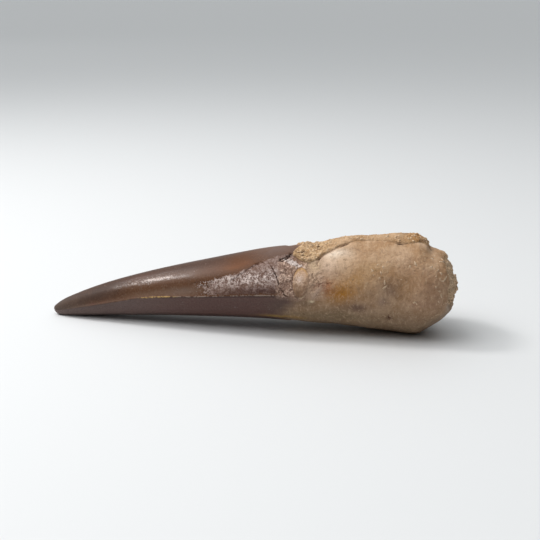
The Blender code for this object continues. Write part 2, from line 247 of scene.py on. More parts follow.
# Soft boxes: name, place, width in metres and which of the stage's settings gives its power.
LAMPS = (
    ("small_box", (-0.48, 0.08, 0.6), 0.15, "key_power"),
    ("wide_box", (-0.27, -0.08, 0.58), 0.52, "wide_power"),
    ("left_box", (-0.5, -0.15, 0.7), 0.25, "left_power"),
    ("far_box", (-1.4, 1.3, 0.8), 1, "far_power"),
)
LAMPS_AIM = Vector((0, 0, 0.01))
FLOOR_REACH = 30
# The camera: turned round the tooth and raised, lens and sensor in millimetres, the rest in metres.
CAMERA_TURN, CAMERA_RISE = math.radians(8), math.radians(17)
LENS, SENSOR = 60, 36
CAMERA_AIM = Vector((0, 0, 0.017))
CAMERA_BACK, CAMERA_RIGHT, CAMERA_UP = 0.3097, 0.00728, 0.001582


def a_number(name, default, description, **kind):
    """A number that the user can change."""
    return bpy.props.FloatProperty(name=name, description=description, default=default, **kind)


def a_colour(name, default, description):
    """A colour that the user can change."""
    return bpy.props.FloatVectorProperty(
        name=name, description=description, default=default, subtype="COLOR")


a_length = partial(a_number, unit="LENGTH", precision=5)
a_power = partial(a_number, unit="POWER")


class SkinSizes(bpy.types.PropertyGroup):
    """Sizes of what is grown and carved on the tooth's skin."""

    enamel_end: a_length("Enamel End", 0.086, "How far from the tip the enamel reaches")
    enamel_thickness: a_length("Enamel Thickness", 0.00035, "Height of the step where the enamel stops")
    ridge_height: a_length("Ridge Height", 0.0007, "Height of the two cutting ridges")
    ridge_half_angle: a_number(
        "Ridge Half Angle", math.radians(6), "How far round the tooth a cutting ridge spreads",
        subtype="ANGLE")
    flute_depth: a_length("Flute Depth", 0.00012, "Depth of the crown's long shallow flutes")
    crust_thickness: a_length("Crust Thickness", 0.0009, "Thickness of the cemented sand on the root")
    crevice_depth: a_length("Crevice Depth", 0.0009, "Depth of the crevice under the crust's lip")
    gravel_height: a_length("Gravel Height", 0.0012, "Height of the lumps on the broken end")
    frost_depth: a_length("Frost Depth", 0.00022, "How deep the frosted enamel is etched")


class SandSizes(bpy.types.PropertyGroup):
    """How the loose sand is scattered."""

    grain_size: a_length("Grain Size", 0.0007, "Width of a middling sand grain")
    crust_density: a_number("Crust Density", 0.9, "Grains for each square millimetre of crust")
    fleck_size: a_length("Fleck Size", 0.0006, "Width of a middling pale fleck")
    fleck_density: a_number(
        "Fleck Density", 1.2, "Flecks for each square millimetre where they lie thickest")
    seed: bpy.props.IntProperty(name="Seed", description="Picks another scatter of the grains", default=7)


class ToothColours(bpy.types.PropertyGroup):
    """Colours of the tooth's parts."""

    enamel: a_colour("Enamel", (0.124, 0.056, 0.028), "The warm brown of the upper crown")
    enamel_shade: a_colour(
        "Enamel Below The Ridge", (0.112, 0.057, 0.048), "The purple brown of the lower crown")
    enamel_tip: a_colour("Worn Tip", (0.078, 0.06, 0.05), "The grey of the worn tip")
    frost: a_colour("Frosted Enamel", (0.72, 0.59, 0.54), "The pale grains of the etched enamel")
    root: a_colour("Root", (0.4, 0.225, 0.108), "The waxy tan of the root")
    root_pale: a_colour("Pale Root", (0.56, 0.36, 0.215), "The paler, pinker parts of the root")
    crust: a_colour("Crust", (0.72, 0.5, 0.29), "The cemented sand")
    gravel: a_colour("Gravel", (0.71, 0.52, 0.345), "The broken end's grey tan")
    # the near black of the deep cracks and pits
    crack_colour: a_colour("Dirt", (0.028, 0.014, 0.01), "What fills the cracks and crevices")


class StageSettings(bpy.types.PropertyGroup):
    """The floor and the light."""

    floor_colour: a_colour("Floor", (0.7, 0.7, 0.7), "The pale floor")
    sky_colour: a_colour("Sky", (0.96, 1, 1.02), "The soft light from above")
    dark_sky_colour: a_colour("Dark Sky", (0.03, 0.03, 0.03), "The dimmer side of the room")
    sky_strength: a_number("Sky Strength", 0.97, "Strength of the light all round")
    key_power: a_power("Key Power", 1.9, "Power of the overhead soft box")
    wide_power: a_power("Wide Power", 2.2, "Power of the wide overhead box")
    left_power: a_power("Left Box", 0.5, "Power of the box to the left")
    far_power: a_power("Far Power", 1.1, "Power of the far box that lights the floor behind")


# ---- formulas written as plain arithmetic, in either kind of node tree


class Value:
    """A value inside a node tree."""

    def __init__(self, tree, socket):
        self.tree, self.socket = tree, socket

    def math(self, operation, *others):
        return calculate(operation, self, *others)

    def __neg__(self):
        return self * -1

    def low(self, other):
        return self.math("MINIMUM", other)

    def high(self, other):
        return self.math("MAXIMUM", other)

    def sine(self):
        return (self * RADIANS).math("SINE")

    def bell(self, reach):
        """1 where the value is 0, falling off smoothly over the reach."""
        share = self / reach
        return (-(share * share)).math("EXPONENT")

    def smooth(self, start, end, low=0, high=1, curve="SMOOTHSTEP"):
        """Low below start, high above end and an S-curve between them."""
        inputs = {0: self, 1: start, 2: end, 3: low, 4: high}
        return add(self.tree, "ShaderNodeMapRange", inputs, interpolation_type=curve)

    def fade(self, start, end):
        """1 below start, 0 above end and an S-curve between them."""
        return 1 - self.smooth(start, end)

    def ramp(self, start, end, low, high):
        return self.smooth(start, end, low, high, "LINEAR")


def calculate(operation, *values):
    tree = next(value.tree for value in values if isinstance(value, Value))
    return add(tree, "ShaderNodeMath", dict(enumerate(values)), operation=operation)


for sign, word in (("add", "ADD"), ("sub", "SUBTRACT"), ("mul", "MULTIPLY"), ("truediv", "DIVIDE")):
    setattr(Value, f"__{sign}__", lambda self, other, do=word: calculate(do, self, other))
    setattr(Value, f"__r{sign}__", lambda self, other, do=word: calculate(do, other, self))


def plug(tree, socket, value):
    if isinstance(value, Value):
        tree.links.new(value.socket, socket)
    else:
        socket.default_value = value


def add_whole(tree, kind, inputs=None, **settings):
    """Adds a node, sets it, plugs its inputs and gives back all its outputs."""
    node = tree.nodes.new(kind)
    for name, setting in settings.items():
        setattr(node, name, setting)
    for key, value in (inputs or {}).items():
        plug(tree, node.inputs[key], value)
    return [Value(tree, socket) for socket in node.outputs]


def add(tree, kind, inputs=None, out=0, **settings):
    """Adds a node and gives back one of its outputs."""
    return add_whole(tree, kind, inputs, **settings)[out]


def vector(tree, x, y, z):
    return add(tree, "ShaderNodeCombineXYZ", {0: x, 1: y, 2: z})


def parts(place):
    return add_whole(place.tree, "ShaderNodeSeparateXYZ", {0: place})


def vector_math(operation, place, by=None, out=0):
    inputs = {0: place} if by is None else {0: place, 1: by}
    return add(place.tree, "ShaderNodeVectorMath", inputs, out, operation=operation)


def scale(place, by):
    return add(place.tree, "ShaderNodeVectorMath", {0: place, 3: by}, operation="SCALE")


def mix(share, a, b):
    return add(share.tree, "ShaderNodeMix", {0: share, 2: a, 3: b})


def blend(share, under, over):
    """Lays this share of one colour over another."""
    under, over = (tint if isinstance(tint, Value) else (*tint, 1) for tint in (under, over))
    return add(share.tree, "ShaderNodeMix", {0: share, 6: under, 7: over}, 2, data_type="RGBA")


def paint(colour, *coats):
    """Lays coats over a colour in turn, each a share and a tint."""
    for share, tint in coats:
        colour = blend(share, colour, tint)
    return colour


def mist(place, size, detail, roughness, warp=0):
    """Noise from about 0 to 1, its lumps about this size."""
    inputs = {"Vector": place, "Scale": 1 / size, "Detail": detail}
    inputs.update({"Roughness": roughness, "Distortion": warp})
    return add(place.tree, "ShaderNodeTexNoise", inputs)


def clouds(place, size, detail=2, roughness=0.5, warp=0):
    """Noise from about -1 to 1."""
    return mist(place, size, detail, roughness, warp) * 2 - 1


def pebbles(place, size):
    """Distance from the middle of the nearest rounded pebble of about this size."""
    inputs = {"Vector": place, "Scale": 1 / size, "Smoothness": 0.3}
    return add(place.tree, "ShaderNodeTexVoronoi", inputs, feature="SMOOTH_F1")


def wrapped(angle, centre):
    """How far angle lies past centre the short way round, in degrees."""
    return (angle - centre).math("WRAP", 180, -180)


def spot(along, angle, distance, side, reach, spread):
    """1 in the middle of a spot at this distance and angle, falling off along and round the tooth."""
    return (along - distance).bell(reach) * wrapped(angle, side).bell(spread)


# ---- the grown outline


def degrees_round(circle):
    """The angle, counted on from the seam, of a place on the unit circle."""
    x, y, _ = parts(circle)
    middle = SEAM_ANGLE + 180
    return wrapped(y.math("ARCTAN2", x) * DEGREES, middle) + middle


def along_curve(rows, where):
    """Reads rows of (place, value, ...) with a smooth curve through them."""
    last = len(rows) - 1
    if where <= rows[0][0]:
        return rows[0][1:]
    if where >= rows[last][0]:
        return rows[last][1:]
    i = next(n for n in range(last) if where <= rows[n + 1][0])
    before, here, there, after = (rows[min(max(n, 0), last)] for n in range(i - 1, i + 3))
    span = there[0] - here[0]
    share = (where - here[0]) / span
    values = []
    for column in range(1, len(here)):
        slope_here = (there[column] - before[column]) / (there[0] - before[0]) * span
        slope_there = (after[column] - here[column]) / (after[0] - here[0]) * span
        rise = there[column] - here[column]
        values.append(
            here[column]
            + share * slope_here
            + share**2 * (3 * rise - 2 * slope_here - slope_there)
            + share**3 * (slope_here + slope_there - 2 * rise)
        )
    return tuple(values)


def grown_outline(distance):
    rounded_tip = [(math.sqrt(row[0]), *row[1:]) for row in STATIONS]
    return along_curve(rounded_tip, math.sqrt(distance))


def ring_places():
    """(distance, share of the way over the break) of every ring."""
    places = []
    start = 0
    for end, step in RING_STEPS:
        count = round((end - start) / step)
        places += [(start + (end - start) * n / count, 0) for n in range(count)]
        start = end
    return places + [(ROOT_SIDE_END, n / BREAK_RINGS) for n in range(BREAK_RINGS + 1)]


def line_mesh(name, corners, edges, values):
    """A mesh of lines whose points carry these named values."""
    mesh = bpy.data.meshes.new(name)
    mesh.from_pydata(corners, edges, [])
    for label, numbers in values.items():
        mesh.attributes.new(label, "FLOAT", "POINT").data.foreach_set("value", numbers)
    return mesh


def outline_mesh():
    """The outline as a line along the tooth's middle, one point a ring, that carries the ring's sizes."""
    names = (
        "distance", "reach", "share", "half_height", "half_depth", "width_above", "width_below",
        "width_near", "ridge_angle", "lip_angle", "frost_top", "frost_bottom",
    )
    corners, rings = [], []
    for distance, share in ring_places():
        middle, half_height, half_depth = grown_outline(distance)
        reach, *widths = along_curve(BREAK_PROFILE, share)
        there = distance + BREAK_REACH * reach
        bend = max(0, 1 - distance / TIP_BEND_FROM) ** 2
        corners.append((
            there + TIP_DRAWN_BACK * bend - TIP_TO_ORIGIN, -TIP_BEND * bend - SIDE_TO_ORIGIN, middle,
        ))
        rings.append((
            distance, there, share, half_height, half_depth, *widths, *along_curve(FRONT_RIDGE, distance),
            *along_curve(CRUST_LIP, there), *along_curve(FROSTED, distance),
        ))
    edges = [(n, n + 1) for n in range(len(corners) - 1)]
    return line_mesh("tooth outline", corners, edges, dict(zip(names, zip(*rings))))


def crack_mesh():
    """The cracks as wobbly lines over the unrolled skin: distance along, millimetres round."""
    corners, edges, widths, depths = [], [], [], []
    for start, end in (ends for path in CRACKS for ends in zip(path, path[1:])):
        length = math.hypot(end[0] - start[0], (end[1] - start[1]) * MM_PER_DEGREE)
        count = max(2, round(length / CRACK_STEP))
        for n in range(count + 1):
            distance, angle, half_width, depth = (a + (b - a) * (n / count) for a, b in zip(start, end))
            place = Vector((distance, angle * MM_PER_DEGREE, 0))
            wobble = [noise.noise(place * 1.7 + shift) * CRACK_WOBBLE for shift in WOBBLE_SHIFTS]
            corners.append((place.x + wobble[0], place.y + wobble[1], 0))
            widths.append(half_width * (1 + 0.5 * noise.noise(place * 2.3 + SWELL_SHIFT)))
            depths.append(depth)
            if n:
                edges.append((len(corners) - 2, len(corners) - 1))
    return line_mesh("crack paths", corners, edges, {"half_width": widths, "depth": depths})


# ---- the skin, grown by Geometry Nodes


def new_tree(kind, name, inputs, outputs):
    """A node group with these sockets: name, kind and default.

    Gives the group, its inputs by name and its end.
    """
    tree = bpy.data.node_groups.new(name, kind)
    for way, sockets in (("OUTPUT", outputs), ("INPUT", inputs)):
        for label, socket_kind, default in sockets:
            socket = tree.interface.new_socket(label, in_out=way, socket_type="NodeSocket" + socket_kind)
            if default is not None:
                socket.default_value = default
    start = tree.nodes.new("NodeGroupInput")
    end = tree.nodes.new("NodeGroupOutput")
    return tree, {socket.name: Value(tree, socket) for socket in start.outputs if socket.name}, end


def growing_tree(name, inputs):
    """A Geometry Nodes tree with these inputs, the solid's bounds and a material."""
    geometry = ("Geometry", "Geometry", None)
    bounds = (("Lowest", "Vector", None), ("Highest", "Vector", None), ("Material", "Material", None))
    return new_tree("GeometryNodeTree", name, (geometry, *inputs, *bounds), (geometry,))


def then(geometry, step, **inputs):
    """The geometry after one more step."""
    return add(geometry.tree, "GeometryNode" + step, {"Geometry": geometry, **inputs})


def finish_tree(geometry, given, end):
    """Makes it plain, holds every point inside the solid's own bounds and gives it its material."""
    geometry = then(geometry, "RealizeInstances")
    inside = vector_math("MAXIMUM", add(geometry.tree, "GeometryNodeInputPosition"), given["Lowest"])
    inside = vector_math("MINIMUM", inside, given["Highest"])
    geometry = then(then(geometry, "SetPosition", Position=inside), "SetShadeSmooth")
    plug(geometry.tree, end.inputs[0], then(geometry, "SetMaterial", Material=given["Material"]))


def named(tree, name, kind="FLOAT"):
    return add(tree, "GeometryNodeInputNamedAttribute", {0: name}, data_type=kind)


def store(geometry, kind="FLOAT", domain="POINT", **values):
    """Keeps each value on the geometry under its name."""
    node = "GeometryNodeStoreNamedAttribute"
    for name, value in values.items():
        inputs = {"Geometry": geometry, "Name": name, "Value": value}
        geometry = add(geometry.tree, node, inputs, data_type=kind, domain=domain)
    return geometry


def wrap_grid(tree, given):
    """A grid wrapped round the outline, with each point's place along and round the tooth kept on it."""
    outline = given["Geometry"]
    rings = add(tree, "GeometryNodeAttributeDomainSize", {0: outline}, component="MESH")
    sizes = {0: 1, 1: 1, 2: rings, 3: given["Columns"] + 1}
    grid, map_place = add_whole(tree, "GeometryNodeMeshGrid", sizes)
    x, y, _ = parts(add(tree, "GeometryNodeInputPosition"))
    ring = ((x + 0.5) * (rings - 1)).math("ROUND")

    def of_ring(name, kind="FLOAT"):
        value = named(tree, name, kind) if name else add(tree, "GeometryNodeInputPosition")
        return add(tree, "GeometryNodeSampleIndex", {0: outline, 1: value, 2: ring}, data_type=kind)

    crowded = (y * math.tau).math("SINE") * (COLUMN_CROWDING / math.tau)
    around = ((y + 0.5 - crowded) * 360 + SEAM_ANGLE) * RADIANS
    cosine, sine = around.math("COSINE"), around.math("SINE")
    width = mix(sine * 0.5 + 0.5, of_ring("width_below"), of_ring("width_above"))
    nearness = (around - math.radians(NEAR_SIDE)).math("COSINE").smooth(0.45, 1)
    width = mix(nearness, width, of_ring("width_near"))
    x, side, z = parts(of_ring("", "FLOAT_VECTOR"))
    out_y = -(cosine * of_ring("half_depth"))
    out_z = sine * of_ring("half_height")
    lean = out_z * width * of_ring("share").smooth(0, 0.6) * BREAK_LEAN
    place = vector(tree, x + lean, side + out_y * width, z + out_z * width)
    kept = ("distance", "reach", "share", "ridge_angle", "lip_angle", "frost_top", "frost_bottom")
    skin = store(grid, **{name: of_ring(name) for name in kept}, shrink=width)
    outward = vector_math("NORMALIZE", vector(tree, 0, out_y, out_z))
    skin = store(skin, "FLOAT_VECTOR", circle=vector(tree, cosine, sine, 0), outward=outward)
    map_x, map_y, _ = parts(map_place)
    skin = store(skin, "FLOAT2", "CORNER", UVMap=vector(tree, map_x, map_y, 0))
    skin = then(then(skin, "SetPosition", Position=place), "MergeByDistance", Distance=WELD_DISTANCE)
    return store(skin, angle=degrees_round(named(tree, "circle", "FLOAT_VECTOR")))


def grown_relief(tree, given, distance, reach, angle, place):
    """Height of what the tooth grew with: ridges, flutes, the enamel's step, swellings and slow lumps."""
    enamel_end = given["Enamel End"] * MM_PER_METRE
    around = angle * RADIANS
    wander = (around * 2 + 0.8).math("SINE") * 0.6 + (around * 5 + 2.1).math("SINE") * 0.4
    past_enamel = distance - enamel_end - wander * 3.5

    near_front = wrapped(angle, named(tree, "ridge_angle")).math("ABSOLUTE")
    near_back = wrapped(angle, 180).math("ABSOLUTE")
    half_angle = given["Ridge Half Angle"] * DEGREES
    ridge = (-(near_front.low(near_back) / half_angle)).math("EXPONENT")
    ridge = ridge * distance.smooth(0, 14) * (distance - enamel_end).fade(0, 8)
    relief = ridge * given["Ridge Height"] * MM_PER_METRE

    on_crown = distance.smooth(10, 40) * (distance - enamel_end).fade(-6, 4)
    relief = relief + (around * FLUTES).math("COSINE") * on_crown * given["Flute Depth"] * MM_PER_METRE
    relief = relief + past_enamel.fade(0, 1.6) * given["Enamel Thickness"] * MM_PER_METRE
    for *where, height in SWELLINGS:
        relief = relief + spot(reach, angle, *where) * height
    slow = clouds(place, 8, 3) * (distance - enamel_end).smooth(-4, 10)
    return relief + slow * 0.4, past_enamel


def build_skin_tree():
    declared = [size.keywords for size in SkinSizes.__annotations__.values()]
    sizes = [(size["name"], "Float", size["default"]) for size in declared]
    inputs = (("Columns", "Int", COLUMNS), *sizes, ("Crack Paths", "Object", None))
    tree, given, end = growing_tree("Tooth skin", inputs)
    skin = wrap_grid(tree, given)
    kept = ("distance", "reach", "share", "angle")
    distance, reach, share, angle = (named(tree, name) for name in kept)
    place = add(tree, "GeometryNodeInputPosition")
    outward = named(tree, "outward", "FLOAT_VECTOR")

    relief, past_enamel = grown_relief(tree, given, distance, reach, angle, place)
    ragged = clouds(place, 2.6, 3, 0.6)
    # the crust of cemented sand: how far inside its outline each place lies
    above_lip = wrapped(angle, named(tree, "lip_angle")) * MM_PER_DEGREE
    back_edge = (distance * 0.35).math("SINE") * 10 + CRUST_BACK
    before_back = wrapped(back_edge, angle) * MM_PER_DEGREE + ragged * 0.8
    past_front = reach - CRUST_FRONT - (angle - 91).bell(11) * 2.5 + ragged * 0.5
    before_end = CRUST_END - reach + ragged * 0.5
    clean_lip = above_lip + ragged * 0.35 * reach.fade(94, 97)
    in_crust = clean_lip.low(before_back).low(past_front).low(before_end)
    covered = in_crust.smooth(-0.15, 0.75)
    under_lip = reach.smooth(94.5, 96.5) * reach.fade(126, 128.5)
    open_share = ragged * 0.3
    for middle, half_length, openness in LIP_GAPS:
        open_share = open_share + (reach - middle).bell(half_length) * openness
    crevice = (above_lip + 0.3).bell(0.3) * under_lip * open_share.low(1).high(0)
    on_top = (angle - 92).bell(20)
    thick = reach.ramp(93, 101, 1, 0.2).high((reach - 127.5).bell(4) * 0.6)
    thick = thick * (1 - on_top * reach.fade(94, 100) * 0.7)
    relief = relief + (reach - 90.5).bell(4) * on_top * 0.5
    relief = relief + covered * given["Crust Thickness"] * MM_PER_METRE * thick
    relief = relief - crevice * given["Crevice Depth"] * MM_PER_METRE
    relief = relief * distance.smooth(0, 6) * named(tree, "shrink")
    skin = store(skin, past_enamel=past_enamel, in_crust=in_crust, crevice=crevice)
    skin = then(skin, "SetPosition", Offset=scale(outward, relief))

    # the frosted enamel, the diagonal step, the oval chip and the gravelly break
    top = (named(tree, "frost_top") - angle) * MM_PER_DEGREE
    bottom = (angle - named(tree, "frost_bottom")) * MM_PER_DEGREE
    past_front = (distance - FROST_FRONT) * 0.22
    in_frost = top.low(bottom).low(past_front).low(FROST_END - distance) + ragged * 0.7
    past_step = (distance - STEP_ALONG) * 0.58 - (angle - STEP_ROUND) * MM_PER_DEGREE * 0.81
    on_step = distance.smooth(65.5, 67.5) * distance.fade(75.5, 77)
    oval_round = (angle - OVAL_ROUND) / OVAL_HALF_ANGLE
    oval_along = (distance - OVAL_ALONG) / OVAL_HALF_LENGTH
    in_oval = 1 - (oval_round * oval_round + oval_along * oval_along).math("SQRT")
    in_break = reach - BREAK_START + angle.sine() * BREAK_SLANT + ragged * 1.2
    skin = store(skin, in_frost=in_frost, past_step=past_step, in_oval=in_oval, in_break=in_break)

    unrolled = vector(tree, distance, angle * MM_PER_DEGREE, 0)
    paths = add(tree, "GeometryNodeObjectInfo", {0: given["Crack Paths"]}, out=4)
    gap = add(tree, "GeometryNodeProximity", {0: paths, 2: unrolled}, out=1, target_element="EDGES")
    nearest = add(tree, "GeometryNodeSampleNearest", {0: paths, 1: unrolled})
    half_width, depth = (
        add(tree, "GeometryNodeSampleIndex", {0: paths, 1: named(tree, name), 2: nearest})
        for name in ("half_width", "depth")
    )
    gap = (gap + ragged * 0.05) / half_width + share * 50
    skin = store(skin, crack=gap)

    # fine relief, the same way out as the skin faces
    fine = clouds(place, 0.75, 2, 0.7)
    chip = clouds(place, 2.3, 4, 0.7)
    drawn_out = vector_math("MULTIPLY", place, (0.6, 1.2, 1.2))
    crackle = 1 - clouds(drawn_out, 3.4, 3, 0.6).math("ABSOLUTE").smooth(0, 0.05)
    rough = covered * reach.ramp(94, 104, 1, 0.4).high((reach - 128).bell(4.5))
    sand = rough * (chip * 0.5 + fine * 0.3 - crackle * 0.22 + (chip - 0.05).smooth(0, 0.1) * 0.18)
    grit = in_frost.smooth(0, 0.8) * (0.45 - pebbles(place, 0.5)) * given["Frost Depth"] * MM_PER_METRE
    oval = in_oval.smooth(-0.06, 0.16) * 0.07 + in_oval.smooth(0, 0.9) * 0.02
    oval = oval + in_oval.smooth(0, 0.2) * chip * 0.3
    step = past_step.smooth(-0.12, 0.12) * past_step.ramp(0, 6, 1, 0) * on_step * -0.22
    gravel = (0.55 - pebbles(place, 2.9)) * 1.5 + clouds(place, 4.2, 3, 0.6) * 0.9 + fine * 0.35 - 0.4
    gravel = gravel * in_break.smooth(-1.6, 1.2) * given["Gravel Height"] * MM_PER_METRE
    off_middle = share.fade(0.7, 0.85)
    for *where, height in BREAK_LUMPS:
        gravel = gravel + spot(reach, angle, *where) * off_middle * height
    _, y, z = parts(place)
    z = z - BREAK_MIDDLE_HEIGHT
    across = (y * y + z * z).math("SQRT") + ragged * 0.5
    hollow = across.fade(3.4, 6.6) * share.smooth(0.5, 0.7) * 2.4
    belt = distance.smooth(81.5, 83.5) * (distance + ragged).fade(95, 99.5)
    belt = belt * (angle + ragged * 3).smooth(-8, 2) * angle.fade(50, 62)
    plates = (chip + fine * 0.12).smooth(-0.02, 0.05)
    chipped = (plates - 0.6) * belt * in_oval.fade(-0.1, 0.05) * 0.2
    on_root = distance.smooth(88, 94) * in_break.fade(-1, 1)
    waxy = clouds(place, 3, 3, 0.6) * 0.16 + fine * 0.05 + (-fine - 0.28).smooth(0, 0.12) * -0.1
    carved = (-(gap * gap)).math("EXPONENT") * depth * share.fade(0, 0.1)
    fine_relief = sand + grit + oval + step + gravel - hollow + chipped + waxy * on_root - carved
    skin = store(skin, plate=plates, in_belt=belt, crack_depth=depth, rough=rough)
    skin = store(skin, crackle=crackle * covered)
    normal = add(tree, "GeometryNodeInputNormal")
    skin = then(skin, "SetPosition", Offset=scale(normal, fine_relief * distance.smooth(0.5, 6)))
    finish_tree(then(skin, "SetPosition", Position=scale(place, MM)), given, end)
    return tree


def set_input(modifier, label, value):
    """Sets a modifier's input by its socket's identifier."""
    for socket in modifier.node_group.interface.items_tree:
        if socket.item_type == "SOCKET" and socket.in_out == "INPUT" and socket.name == label:
            modifier[socket.identifier] = value
            return
    raise KeyError(label)


def grow(name, mesh, tree, inputs):
    """Runs a tree on a mesh and gives back a plain object of what it made."""
    seed = bpy.data.objects.new(name + "_seed", mesh)
    bpy.context.scene.collection.objects.link(seed)
    modifier = seed.modifiers.new("grow", "NODES")
    modifier.node_group = tree
    for label, value in {**inputs, "Lowest": LOWEST, "Highest": HIGHEST}.items():
        set_input(modifier, label, value)
    graph = bpy.context.evaluated_depsgraph_get()
    made = bpy.data.meshes.new_from_object(
        seed.evaluated_get(graph), preserve_all_data_layers=True, depsgraph=graph
    )
    made.name = name
    seed.modifiers.remove(modifier)
    bpy.data.objects.remove(seed)
    piece = bpy.data.objects.new(name, made)
    bpy.context.scene.collection.objects.link(piece)
    return piece


def chance(tree, low, high, seed):
    return add(tree, "FunctionNodeRandomValue", {2: low, 3: high, 8: seed}, out=1)


def scatter_tree(name, where, stretched):
    """A tree that scatters a stone over a skin, as thick as `where` says, and keeps only the stones."""
    tree, given, end = growing_tree(name, (
        ("Density", "Float", 1), ("Width", "Float", 0.0007), ("Flatness", "Float", 0.5),
        ("Sunk", "Float", 0.3), ("Seed", "Int", 1),
    ))
    spread = {0: given["Geometry"], 4: given["Density"] * where(tree) * MM_PER_METRE**2, 6: given["Seed"]}
    points, _, turn = add_whole(tree, "GeometryNodeDistributePointsOnFaces", spread)
    spin = vector(tree, 0, 0, chance(tree, 0, math.tau, 3))
    turn = add(tree, "FunctionNodeRotateRotation", {0: turn, 1: spin}, rotation_space="LOCAL")
    size = chance(tree, 0.45, 1, 5)
    size = size * size * given["Width"] * 1.6
    shape = vector(tree, size * chance(tree, 1, 1 + stretched, 9), size, size * given["Flatness"])
    stone = add(tree, "GeometryNodeMeshIcoSphere", {0: 0.5, 1: 1})
    stone = then(stone, "Transform", Translation=vector(tree, 0, 0, -given["Sunk"]))
    stones = add(tree, "GeometryNodeInstanceOnPoints", {0: points, 2: stone, 5: turn, 6: shape})
    finish_tree(stones, given, end)
    return tree


def on_crust(tree):
    """Thick on the crust and on the rim of the break."""
    tail = named(tree, "in_break").smooth(-1, 0.5) * 0.9
    return (named(tree, "in_crust").smooth(0, 0.6) * named(tree, "rough")).high(tail)


def on_root(tree):
    """Thickest in the clusters, with a few everywhere else on the bare root."""
    reach, angle = named(tree, "reach"), named(tree, "angle")
    thick = clouds(add(tree, "GeometryNodeInputPosition"), 0.004, 2, 0.6).smooth(-0.12, 0.2)
    share = 0.03
    for *where, weight in FLECK_CLUSTERS:
        share = spot(reach, angle, *where) * weight + share
    return share * named(tree, "in_crust").fade(-0.8, 0) * reach.smooth(93, 97) * thick


# ---- materials


def new_material(name):
    material = bpy.data.materials.new(name)
    material.use_nodes = True
    tree = material.node_tree
    return material, tree, tree.nodes["Principled BSDF"]


def grain_group():
    """A shader group, built once, for every stony surface: speckle, slow mottling and their height."""
    if GRAIN_GROUP in bpy.data.node_groups:
        return bpy.data.node_groups[GRAIN_GROUP]
    sizes = (("Place", "Vector", None), ("Fine Size", "Float", 0.5), ("Slow Size", "Float", 5))
    outputs = [(label, "Float", None) for label in ("Speckle", "Mottle", "Height")]
    tree, given, end = new_tree("ShaderNodeTree", GRAIN_GROUP, sizes, outputs)

    place, fine = given["Place"], given["Fine Size"]
    speckle = mist(place, fine, 3, 0.75)
    height = speckle * 0.6 + mist(place, fine * 3, 2, 0.6) * 0.4
    for key, value in enumerate((speckle, mist(place, given["Slow Size"], 3, 0.55), height)):
        plug(tree, end.inputs[key], value)
    return tree


def stone_grain(tree, place, fine, slow):
    """The group's speckle, mottling and height, with their sizes in millimetres."""
    return add_whole(tree, "ShaderNodeGroup", {0: place, 1: fine, 2: slow}, node_tree=grain_group())


def attribute(tree, name, out=2):
    return add(tree, "ShaderNodeAttribute", out=out, attribute_name=name)


def object_place(tree):
    """Object coordinates in millimetres."""
    return scale(add(tree, "ShaderNodeTexCoord", out=3), MM_PER_METRE)


def read_surface(tree):
    """What the colours follow: the place, the masks kept on the skin, stone grain and clouds of noise."""
    at = SimpleNamespace(**{name: attribute(tree, name) for name in (
        "past_enamel", "in_crust", "crevice", "in_frost", "past_step", "in_oval", "in_break", "crack",
        "plate", "in_belt", "crackle", "crack_depth", "ridge_angle",
    )})
    at.place = object_place(tree)
    at.along = parts(at.place)[0] + TIP_TO_ORIGIN
    at.angle = degrees_round(attribute(tree, "circle", 1))
    at.upward = at.angle.sine()
    at.spot = partial(spot, at.along, at.angle)
    at.speckle, at.mottle, at.height = stone_grain(tree, at.place, 0.45, 6)
    at.fine = clouds(at.place, 0.5, 2, 0.7)
    at.mid = clouds(at.place, 1.35, 3, 0.68)
    at.blotch = clouds(at.place, 3.4, 3, 0.65, 0.6)
    at.streak = clouds(vector_math("MULTIPLY", at.place, (0.12, 1, 1)), 1.1, 2, 0.6)
    at.from_ridge = wrapped(at.angle, at.ridge_angle) * MM_PER_DEGREE
    at.below = (at.from_ridge + at.blotch * 0.3).fade(-0.7, 0.4) * (-at.from_ridge).fade(20, 26)
    sparse = at.along.ramp(52, 66, 1.7, 0)
    frosted = at.in_frost + at.fine * (sparse * 1.4 + 0.9) + at.mid * (sparse + 0.7) - sparse * 0.8
    at.frosted = frosted.smooth(0, 0.8)
    return at


def stained_and_lit(colour, stains, at):
    """Lays each stain, painted highlight or painted shade over the colour, its edge worn ragged by the
    blotches.
    """
    for distance, side, reach, spread, strength, tint in stains:
        where = (at.along - distance + at.blotch * reach * 0.45).bell(reach)
        where = where * (wrapped(at.angle, side) - at.blotch * spread * 0.45).bell(spread)
        colour = blend(where * strength, colour, tint)
    return colour


